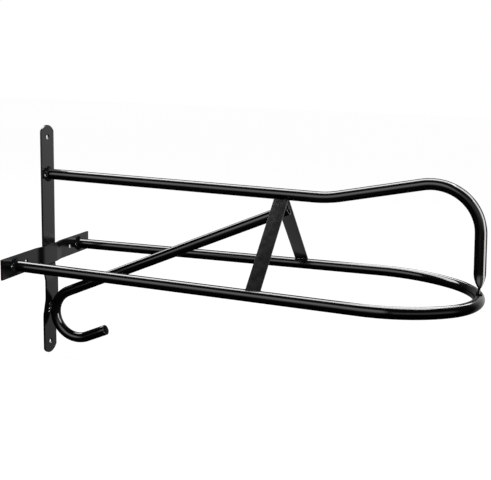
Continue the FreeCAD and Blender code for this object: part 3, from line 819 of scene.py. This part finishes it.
def make_crossing_bead(node, sign):
    """Weld along the corner between the crossbar's edge and the upright's face."""
    stations = []
    for across in spaced(-CROSS_BEAD_HALF, CROSS_BEAD_HALF):
        corner = Vector((STRAP_THICKNESS, across, sign * CROSSBAR_HALF_WIDTH))
        on_edge = corner + X * CROSS_BEAD_CLIMB - Z * (sign * CROSS_BEAD_SINK)
        on_face = corner + Z * (sign * CROSS_BEAD_LEG) - X * EDGE_SINK
        stations.append((on_edge, on_face, corner - X * ROOT_SINK - Z * (sign * ROOT_SINK)))
    make_bead(node, [stations])


HOOK_BEAD_HALF = 10.0 * MM
HOOK_BEAD_RISE = 6.0 * MM
HOOK_BEAD_TURN = math.radians(52)
HOOK_BEAD_REACH = 8.8 * MM
HOOK_BEAD_FACE_SINK = 0.15 * MM
HOOK_BEAD_TUBE_SINK = 0.2 * MM
HOOK_ROOT_SIDE = 2.5 * MM
HOOK_ROOT_SINK = 0.3 * MM


def make_hook_bead(node, side):
    """Weld in the groove between the hook's bend and the face of the upright."""
    slope = math.atan2(BOW_DEPTH, BOW_FOOT_RAMP)
    up = Vector((math.sin(slope), 0, math.cos(slope)))
    out = Vector((math.cos(slope), 0, -math.sin(slope)))
    level = HOOK_CENTRE.z + HOOK_BEAD_RISE
    face = Vector((STRAP_THICKNESS + bow(level), 0, level))
    stations = []
    for along in spaced(-HOOK_BEAD_HALF, HOOK_BEAD_HALF):
        point = face + up * along
        to_tube = (point - HOOK_CENTRE).normalized()
        tube_axis = HOOK_CENTRE + to_tube * HOOK_RADIUS
        on_tube = tube_axis + to_tube * (TUBE * math.cos(HOOK_BEAD_TURN)) \
            + Y * (side * TUBE * math.sin(HOOK_BEAD_TURN))
        on_face = point + Y * (side * HOOK_BEAD_REACH) - out * HOOK_BEAD_FACE_SINK
        root = point + Y * (side * HOOK_ROOT_SIDE) - out * HOOK_ROOT_SINK
        stations.append((on_tube - to_tube * HOOK_BEAD_TUBE_SINK, on_face, root))
    make_bead(node, [stations])


LEG_BEAD_HALF = 11.5 * MM
LEG_TOP_BEAD = 3.3 * MM
LEG_FOOT_BEAD = 1.2 * MM
LEG_ROOT_DEPTH = 0.7 * MM


def bar_to_tube_run(joint, way, along, across, axis, axis_way, leg):
    """Weld along one wide face of a flat bar, where the bar's end meets a tube.

    across points out of the bar's wide face; way points along the bar to the tube.
    """
    stations = []
    for place in spaced(-LEG_BEAD_HALF, LEG_BEAD_HALF):
        face = joint + along * place + across * (LEG_THICKNESS / 2)
        corner = meet_tube(face - way * TUBE * 2, way, axis, axis_way)
        on_bar = corner - way * leg - across * EDGE_SINK
        centre = axis + axis_way * (corner - axis).dot(axis_way)
        radial = (corner - centre).normalized()
        sideways = axis_way.cross(radial)
        if sideways.dot(across) < 0:
            sideways.negate()
        turn = leg / TUBE
        on_tube = centre + (radial * math.cos(turn) + sideways * math.sin(turn)) * (TUBE - EDGE_SINK)
        stations.append((on_bar, on_tube, corner - across * LEG_ROOT_DEPTH + way * ROOT_SINK))
    return stations


def make_leg_beads(word, side):
    foot, aim, way = leg_line(side)
    along = (X - way * way.x).normalized()
    across = way.cross(along)
    for place, joint, to_tube, axis, axis_way, leg in (
        ("top", aim, way, rail_axis(0), rail_way(), LEG_TOP_BEAD),
        ("foot", foot, -way, arm_axis(0, side), arm_way(side), LEG_FOOT_BEAD),
    ):
        runs = [bar_to_tube_run(joint, to_tube, along, across * sign, axis, axis_way, leg)
                for sign in (1, -1)]
        make_bead("weld_%s_leg_%s" % (word, place), runs)


BRACE_BEAD_HALF = 5.0 * MM
BRACE_BEAD_TURN = math.radians(48)
BRACE_BEAD_INSET = 0.3 * MM
BRACE_ROOT_SIDE = 1.0 * MM


def make_brace_bead():
    """Weld in the two grooves between the brace's top and the underside of the rail."""
    way, up = brace_ways()
    brace_top = HOOK_CENTRE + up * HOOK_RADIUS
    lip_point = brace_top + way * BRACE_LENGTH + up * TUBE
    runs = []
    for side in (1, -1):
        stations = []
        for out in spaced(lip_point.x - 2 * BRACE_BEAD_HALF, lip_point.x - BRACE_BEAD_INSET):
            rail = rail_axis(out)
            height = brace_top + way * ((out - brace_top.x) / way.x)
            gap = rail.z - height.z
            wide, tall = side * math.sin(BRACE_BEAD_TURN), math.cos(BRACE_BEAD_TURN)
            on_rail = rail + Vector((0, wide, -tall)) * (TUBE - EDGE_SINK)
            deep = TUBE / way.x
            on_brace = height + Vector((0, wide * TUBE, tall * deep - EDGE_SINK))
            middle = rail.z - gap / 2 - (deep - TUBE) / 2
            root = Vector((out, side * BRACE_ROOT_SIDE, middle))
            stations.append((on_rail, on_brace, root))
        runs.append(stations)
    make_bead("weld_brace_end", runs)


FRONT_BEAD_HALF = 9.5 * MM
FRONT_BEAD_LEG = 3.0 * MM
FRONT_ROOT_DEPTH = 0.6 * MM
FRONT_ROOT_SINK = 0.5 * MM


def make_front_bead():
    """Weld along both faces of the rail's flattened end, on the loop's front bend."""
    way = Vector((math.sin(RAIL_LEAN), 0, -math.cos(RAIL_LEAN)))
    out = Vector((way.z, 0, -way.x))
    nose = LOOP_FRONT - LOOP_FRONT_RADIUS
    runs = []
    for sign in (1, -1):
        stations = []
        for across in spaced(-FRONT_BEAD_HALF, FRONT_BEAD_HALF):
            line_x = RAIL_FRONT + (PINCH_TOP - TUBE) * math.tan(RAIL_LEAN)
            face = Vector((line_x, across, 0)) + X * (sign * BLADE_THICKNESS / 2)
            corner = on_nose(face)
            on_blade = corner - way * FRONT_BEAD_LEG + out * (sign * EDGE_SINK)
            radial = Vector((face.x - nose, across, 0)).normalized()
            on_loop = on_nose(corner + radial * (sign * FRONT_BEAD_LEG))
            root = corner - X * (sign * FRONT_ROOT_DEPTH) - Z * FRONT_ROOT_SINK
            stations.append((on_blade, on_loop, root))
        runs.append(stations)
    make_bead("weld_rail_front", runs)


# ---------------- materials

WHITE = (1, 1, 1, 1)


def set_inputs(node, **values):
    """Sets a node's inputs by name, with _ for each space."""
    for name, value in values.items():
        node.inputs[name.replace("_", " ")].default_value = value


def add_node(tree, kind, **values):
    node = tree.nodes.new(kind)
    set_inputs(node, **values)
    return node


def scaled(tree, value, low, high, dark, bright, curve="SMOOTHSTEP"):
    """A node that turns value, from low to high, into dark to bright, on an S-curve or straight."""
    node = add_node(tree, "ShaderNodeMapRange", From_Min=low, From_Max=high, To_Min=dark, To_Max=bright)
    node.interpolation_type = curve
    tree.links.new(value, node.inputs["Value"])
    return node.outputs["Result"]


# noise textures of the coat, each with its scale, per metre, and its detail
MOTTLE_NOISE = (70.0, 3.0)
SHEEN_NOISE = (110.0, 4.0)
WAVE_NOISE = (45.0, 1.0)
PEEL_NOISE = (620.0, 2.0)

# the part of a noise's values that is spread over a whole range
NOISE_LOW = 0.3
NOISE_HIGH = 0.7

SHEEN_LOW = 0.85
SHEEN_HIGH = 1.2
WAVE_STRENGTH = 0.25
WAVE_HEIGHT = 0.05 * MM
PEEL_HEIGHT = 0.02 * MM
BLUE_LEAN = 1.04
COAT_IOR = 1.5


def coat_material(name, tone, gloss, peel, mottle, shine=0.5):
    """Gloss black powder coat: a fine orange peel over slow waves, with a faintly uneven sheen.

    tone is its grey, gloss its roughness, peel the strength of the orange peel, mottle how much
    the grey varies, and shine how strongly its face reflects.
    """
    material = bpy.data.materials.new(name)
    material.use_nodes = True
    tree = material.node_tree
    link = tree.links.new
    shader = tree.nodes["Principled BSDF"]
    place = add_node(tree, "ShaderNodeTexCoord").outputs["Object"]

    def cloud(texture, low=None, high=None):
        """The value of a noise, spread from low to high if they are given."""
        node = add_node(tree, "ShaderNodeTexNoise", Scale=texture[0], Detail=texture[1])
        link(place, node.inputs["Vector"])
        if low is None:
            return node.outputs["Fac"]
        return scaled(tree, node.outputs["Fac"], NOISE_LOW, NOISE_HIGH, low, high, "LINEAR")

    def bump(height, strength, distance, below=None):
        node = add_node(tree, "ShaderNodeBump", Strength=strength, Distance=distance)
        link(height, node.inputs["Height"])
        if below is not None:
            link(below, node.inputs["Normal"])
        return node.outputs["Normal"]

    value = cloud(MOTTLE_NOISE, tone * (1 - mottle), tone * (1 + mottle))
    colour = add_node(tree, "ShaderNodeCombineColor")
    for channel, lean in (("Red", 1.0), ("Green", 1.0), ("Blue", BLUE_LEAN)):
        scale = add_node(tree, "ShaderNodeMath")
        scale.operation = "MULTIPLY"
        scale.inputs[1].default_value = lean
        link(value, scale.inputs[0])
        link(scale.outputs[0], colour.inputs[channel])
    link(colour.outputs["Color"], shader.inputs["Base Color"])
    link(cloud(SHEEN_NOISE, gloss * SHEEN_LOW, gloss * SHEEN_HIGH), shader.inputs["Roughness"])
    waves = bump(cloud(WAVE_NOISE), WAVE_STRENGTH, WAVE_HEIGHT)
    link(bump(cloud(PEEL_NOISE), peel, PEEL_HEIGHT, waves), shader.inputs["Normal"])
    set_inputs(shader, IOR=COAT_IOR, Specular_IOR_Level=shine)
    return material


def bore_material():
    """Inside of the tubes: steel under a thin, dull overspray."""
    return coat_material("tube_bore_overspray", tone=0.02, gloss=0.55, peel=0.5, mottle=0.5)


tube_coat = coat_material("tube_gloss_black", tone=0.0025, gloss=0.115, peel=0.20, mottle=0.25)
strap_coat = coat_material("strap_gloss_black", tone=0.0040, gloss=0.17, peel=0.30, mottle=0.25)
leg_coat = coat_material("leg_gloss_black", tone=0.0060, gloss=0.22, peel=0.45, mottle=0.30)
weld_coat = coat_material("weld_gloss_black", tone=0.0030, gloss=0.16, peel=0.45, mottle=0.30,
                          shine=0.18)
bore_steel = bore_material()


# ---------------- build the rack

make_seat_loop()
make_ridge_rail()
make_brace_hook()
make_upright()
make_crossbar()
for word, side in (("left", 1), ("right", -1)):
    make_leg(word, side)
    make_leg_beads(word, side)
    arm_start = arm_axis(STRAP_THICKNESS, side)
    make_root_bead("weld_%s_arm_root" % word, arm_start, arm_way(side))
    make_hook_bead("weld_hook_" + word, side)
make_root_bead("weld_rail_root", rail_axis(STRAP_THICKNESS), rail_way())
make_crossing_bead("weld_crossing_top", 1)
make_crossing_bead("weld_crossing_bottom", -1)
make_brace_bead()
make_front_bead()


# ---------------- floor, lights and camera

FLOOR_SIZE = 40.0
FLOOR_GAP = 0.2 * MM
FLOOR_GRAIN = 3.0
FLOOR_TONE = (0.975, 0.995)
FLOOR_BASE = 0.03


def make_sheet(name, corners, material):
    mesh = bpy.data.meshes.new(name)
    mesh.from_pydata(corners, [], [(0, 1, 2, 3)])
    mesh.materials.append(material)
    return new_object(name, mesh)


def make_floor():
    """A plain pale floor. It glows evenly, so that it hardly takes a shadow, and lights nothing."""
    material = bpy.data.materials.new("pale_floor")
    material.use_nodes = True
    tree = material.node_tree
    shader = tree.nodes["Principled BSDF"]
    grain = add_node(tree, "ShaderNodeTexNoise", Scale=FLOOR_GRAIN).outputs["Fac"]
    tree.links.new(scaled(tree, grain, 0.0, 1.0, *FLOOR_TONE, "LINEAR"), shader.inputs["Emission Color"])
    base = (FLOOR_BASE, FLOOR_BASE, FLOOR_BASE, 1)
    set_inputs(shader, Emission_Strength=1.0, Base_Color=base, Roughness=1.0, Specular_IOR_Level=0.0)
    half = FLOOR_SIZE / 2
    level = cad_box[0].z - FLOOR_GAP
    corners = [(-half, -half, level), (half, -half, level), (half, half, level), (-half, half, level)]
    floor = make_sheet("floor", corners, material)
    floor.visible_glossy = False
    floor.visible_diffuse = False


def softbox(name, place, target, wide, high, strength):
    """A rectangular light facing a point. Strength is the brightness of its face."""
    lamp = bpy.data.lights.new(name, "AREA")
    lamp.shape = "RECTANGLE"
    lamp.size = wide
    lamp.size_y = high
    lamp.spread = math.pi
    lamp.energy = strength * wide * high * math.pi
    box = new_object(name, lamp)
    way = (target - place).normalized()
    box.matrix_world = Matrix.Translation(place) @ way.to_track_quat("-Z", "Y").to_matrix().to_4x4()
    box.visible_camera = False
    return box


def reach_only(lamp, names):
    """Keeps a light off everything but the named pieces."""
    lit = bpy.data.collections.new(lamp.name + "_reaches")
    for name in names:
        lit.objects.link(bpy.data.objects[name])
    lamp.light_linking.receiver_collection = lit


def names_but(left_out):
    """Names of all mesh objects but the weld beads and the one left out."""
    return [piece.name for piece in bpy.data.objects if piece.type == "MESH"
            and not piece.name.endswith("_bead") and piece.name != left_out]


LIGHT_STRENGTH = 12.0
OVERHEAD_PLACE = Vector((-100 * MM, 395 * MM, 1200 * MM))
OVERHEAD_LONG = 2.4
OVERHEAD_WIDE = 0.75


def make_overhead():
    """A long panel overhead. The brace and hook and the welds are kept out of it."""
    top = softbox("overhead", OVERHEAD_PLACE, OVERHEAD_PLACE - Z, OVERHEAD_LONG, OVERHEAD_WIDE,
                  LIGHT_STRENGTH)
    reach_only(top, names_but("brace_hook_tube"))


# the arch stands round this point; its turns are in degrees from straight up to the front
FRONT_HALF = Vector((450 * MM, 0, 40 * MM))
ARCH_RADIUS = 1.3
ARCH_TURNS = (40.0, 68.0, 96.0)
ARCH_HIGH = 0.66

# place to the side and width at the top, and how much each falls in a hundred degrees
ARCH_SIDE = 0.395
ARCH_SIDE_FALL = 0.55
ARCH_WIDE = 0.75
ARCH_WIDE_FALL = 0.05


def make_arch():
    """Three panels that carry the light overhead on down past the rail's bend."""
    for number, turn in enumerate(ARCH_TURNS, start=1):
        angle = math.radians(turn)
        share = turn / 100
        way = X * math.sin(angle) + Z * math.cos(angle)
        place = FRONT_HALF + way * ARCH_RADIUS + Y * (ARCH_SIDE - ARCH_SIDE_FALL * share)
        wide = ARCH_WIDE - ARCH_WIDE_FALL * share
        panel = softbox("arch_%d" % number, place, FRONT_HALF, wide, ARCH_HIGH, LIGHT_STRENGTH)
        lit = ("ridge_rail_tube",) if number == 1 else ("ridge_rail_tube", "brace_hook_tube")
        reach_only(panel, lit)


REAR_WAY = Vector((0.28, 0.95, 0.92))
REAR_WIDE = 0.95
REAR_HIGH = 0.62


def make_rear_light():
    """A panel up behind the loop's front, for the highlight along the loop."""
    rear = softbox("rear", FRONT_HALF + REAR_WAY, FRONT_HALF, REAR_WIDE, REAR_HIGH, LIGHT_STRENGTH)
    reach_only(rear, ("seat_loop_tube",))


BRACE_MIDDLE = Vector((240 * MM, 0, 15 * MM))
BRACE_LIGHT_START = Vector((-0.90, 0.53, 0.59))
BRACE_LIGHT_END = Vector((-0.31, 0.59, 1.00))
BRACE_LIGHT_WIDE = 0.42
BRACE_LIGHT_STRENGTH = 8.0


def make_brace_light():
    """A strip behind the rack, turned so that its highlight runs along the brace."""
    middle = (BRACE_LIGHT_START + BRACE_LIGHT_END) / 2
    run = BRACE_LIGHT_END - BRACE_LIGHT_START
    light = softbox("behind", middle, BRACE_MIDDLE, run.length, BRACE_LIGHT_WIDE, BRACE_LIGHT_STRENGTH)
    depth = light.matrix_world.col[2].to_3d()
    across = depth.cross(run).normalized()
    turn = Matrix((across.cross(depth), across, depth)).transposed().to_4x4()
    light.matrix_world = Matrix.Translation(middle) @ turn
    reach_only(light, ("brace_hook_tube",))


SPARK_PLACE = Vector((0.50, -1.19, -0.05))
SPARK_SIZE = 0.3
SPARK_STRENGTH = 140.0


def make_spark():
    """A small strong panel low in front, for the bright dots on the lumps of the welds.

    The welds at the tops of the legs would catch it whole, and are left out.
    """
    spark = softbox("spark", SPARK_PLACE, Vector((0, 0, 0)), SPARK_SIZE, SPARK_SIZE, SPARK_STRENGTH)
    reach_only(spark, [piece.name for piece in bpy.data.objects
                       if piece.name.endswith("_bead") and not piece.name.endswith("_leg_top_bead")])


LEG_FILL_WAY = Vector((-0.28, 0.13, -0.95))
LEG_FILL_SIZE = 0.9
LEG_FILL_STRENGTH = 0.45


def make_leg_fill():
    """A low light for the two legs, whose inner faces look down at the dark."""
    middle = rail_axis(LEG_OUT) * 0.5
    fill = softbox("leg_fill", middle + LEG_FILL_WAY, middle, LEG_FILL_SIZE, LEG_FILL_SIZE,
                   LEG_FILL_STRENGTH)
    reach_only(fill, ("left_leg_bar", "right_leg_bar"))


def product(tree, first, second):
    node = add_node(tree, "ShaderNodeMath")
    node.operation = "MULTIPLY"
    tree.links.new(first, node.inputs[0])
    tree.links.new(second, node.inputs[1])
    return node.outputs[0]


FRONT_STRENGTH = 2.5
FRONT_SPAN = (-1.20, 1.00)
FRONT_RISE = (-0.85, 1.75)
FRONT_PEAK = 0.72
FRONT_PLACE = -1.40
FRONT_FADE = 0.25


def make_front_panel():
    """A glowing sheet behind the camera, brightest above its middle and fading to its edges.

    The welds are kept out of it.
    """
    material = bpy.data.materials.new("front_panel")
    material.use_nodes = True
    tree = material.node_tree
    tree.nodes.clear()
    split = add_node(tree, "ShaderNodeSeparateXYZ")
    tree.links.new(add_node(tree, "ShaderNodeTexCoord").outputs["Object"], split.inputs[0])
    across, height = split.outputs["X"], split.outputs["Z"]
    left, right = FRONT_SPAN
    low, high = FRONT_RISE
    glow = product(tree, scaled(tree, across, left, left + FRONT_FADE, 0.0, 1.0),
                   scaled(tree, across, right - FRONT_FADE, right, 1.0, 0.0))
    below = scaled(tree, height, low, FRONT_PEAK, 0.0, 1.0)
    above = scaled(tree, height, FRONT_PEAK, high, 1.0, 0.0)
    glow = product(tree, glow, product(tree, below, below))
    glow = product(tree, glow, above)
    shine = add_node(tree, "ShaderNodeEmission", Color=WHITE)
    tree.links.new(scaled(tree, glow, 0.0, 1.0, 0.0, FRONT_STRENGTH), shine.inputs["Strength"])
    output = add_node(tree, "ShaderNodeOutputMaterial")
    tree.links.new(shine.outputs[0], output.inputs["Surface"])
    corners = [(x, FRONT_PLACE, z) for x, z in ((left, low), (right, low), (right, high), (left, high))]
    panel = make_sheet("front_panel", corners, material)
    panel.visible_camera = False
    reach_only(panel, names_but(panel.name))


# brightness of the back band by height, from straight down at 0 to straight up at 1
BACK_HEIGHTS = ((0.0, 0.0), (0.17, 0.04), (0.337, 0.45), (0.5, 1.0), (0.687, 1.0), (0.9, 0.1),
                (1.0, 0.05))

# between which values of a direction's X, Y or Z each band grows or fades
BACK_Y = (0.45, 0.98)
BACK_X = (-0.10, 0.35)
SIDE_RISE_Z = (-0.20, 0.18)
SIDE_FADE_Z = (0.18, 0.55)
SIDE_X = (0.05, 0.40)
SIDE_Y = (-0.3, 0.1)

BACK_STRENGTH = 1.12
BACK_REST = 0.02
BACK_LEFT = 0.20
SIDE_STRENGTH = 0.9
BAND_GREY = 0.8


def height_ramp(tree, height):
    """Grey of the back band at a direction's height, which runs from -1 to 1."""
    ramp = add_node(tree, "ShaderNodeValToRGB")
    tree.links.new(scaled(tree, height, -1.0, 1.0, 0.0, 1.0, "LINEAR"), ramp.inputs["Fac"])
    elements = ramp.color_ramp.elements
    while len(elements) < len(BACK_HEIGHTS):
        elements.new(0.5)
    for element, (where, grey) in zip(elements, BACK_HEIGHTS):
        element.position = where
        element.color = (grey, grey, grey, 1)
    return ramp.outputs["Color"]


def make_world():
    """White to the camera; to all else a soft band at the back and one at the right of the front."""
    world = bpy.data.worlds.new("studio")
    bpy.context.scene.world = world
    world.use_nodes = True
    tree = world.node_tree
    tree.nodes.clear()
    link = tree.links.new
    split = add_node(tree, "ShaderNodeSeparateXYZ")
    link(add_node(tree, "ShaderNodeTexCoord").outputs["Generated"], split.inputs[0])
    x, y, z = split.outputs
    back = product(tree, height_ramp(tree, z), scaled(tree, y, *BACK_Y, BACK_REST, BACK_STRENGTH))
    back = product(tree, back, scaled(tree, x, *BACK_X, BACK_LEFT, 1.0))
    side = product(tree, scaled(tree, z, *SIDE_RISE_Z, 0.0, 1.0),
                   scaled(tree, z, *SIDE_FADE_Z, 1.0, 0.0))
    side = product(tree, side, scaled(tree, x, *SIDE_X, 0.0, SIDE_STRENGTH))
    side = product(tree, side, scaled(tree, y, *SIDE_Y, 1.0, 0.0))
    total = add_node(tree, "ShaderNodeMath")
    total.operation = "ADD"
    link(back, total.inputs[0])
    link(side, total.inputs[1])
    grey = (BAND_GREY, BAND_GREY, BAND_GREY, 1)
    bands = add_node(tree, "ShaderNodeBackground", Color=grey)
    link(total.outputs[0], bands.inputs["Strength"])
    white = add_node(tree, "ShaderNodeBackground", Color=WHITE, Strength=1.0)
    mix = add_node(tree, "ShaderNodeMixShader")
    link(add_node(tree, "ShaderNodeLightPath").outputs["Is Camera Ray"], mix.inputs["Fac"])
    link(bands.outputs[0], mix.inputs[1])
    link(white.outputs[0], mix.inputs[2])
    link(mix.outputs[0], add_node(tree, "ShaderNodeOutputWorld").inputs["Surface"])


CAMERA_TARGET = Vector((321.32 * MM, 0, 50.786 * MM))
CAMERA_DISTANCE = 1061.7 * MM
CAMERA_AZIMUTH = math.radians(16.448)
CAMERA_ELEVATION = math.radians(11.227)
CAMERA_ROLL = math.radians(2.084)
SENSOR_WIDTH = 36.0
LENS = 54.39
CLIP_END = 100.0


def make_camera():
    back = Vector((math.sin(CAMERA_AZIMUTH) * math.cos(CAMERA_ELEVATION),
                   -math.cos(CAMERA_AZIMUTH) * math.cos(CAMERA_ELEVATION),
                   math.sin(CAMERA_ELEVATION)))
    level_right = Z.cross(back).normalized()
    level_up = back.cross(level_right)
    right = level_right * math.cos(CAMERA_ROLL) + level_up * math.sin(CAMERA_ROLL)
    up = level_up * math.cos(CAMERA_ROLL) - level_right * math.sin(CAMERA_ROLL)
    data = bpy.data.cameras.new("camera")
    data.sensor_width = SENSOR_WIDTH
    data.lens = LENS
    data.clip_end = CLIP_END
    camera = new_object("camera", data)
    turn = Matrix((right, up, back)).transposed().to_4x4()
    camera.matrix_world = Matrix.Translation(CAMERA_TARGET + back * CAMERA_DISTANCE) @ turn
    bpy.context.scene.camera = camera


make_floor()
make_overhead()
make_arch()
make_rear_light()
make_brace_light()
make_spark()
make_front_panel()
make_leg_fill()
make_world()
make_camera()
bpy.context.scene.view_settings.view_transform = "Standard"
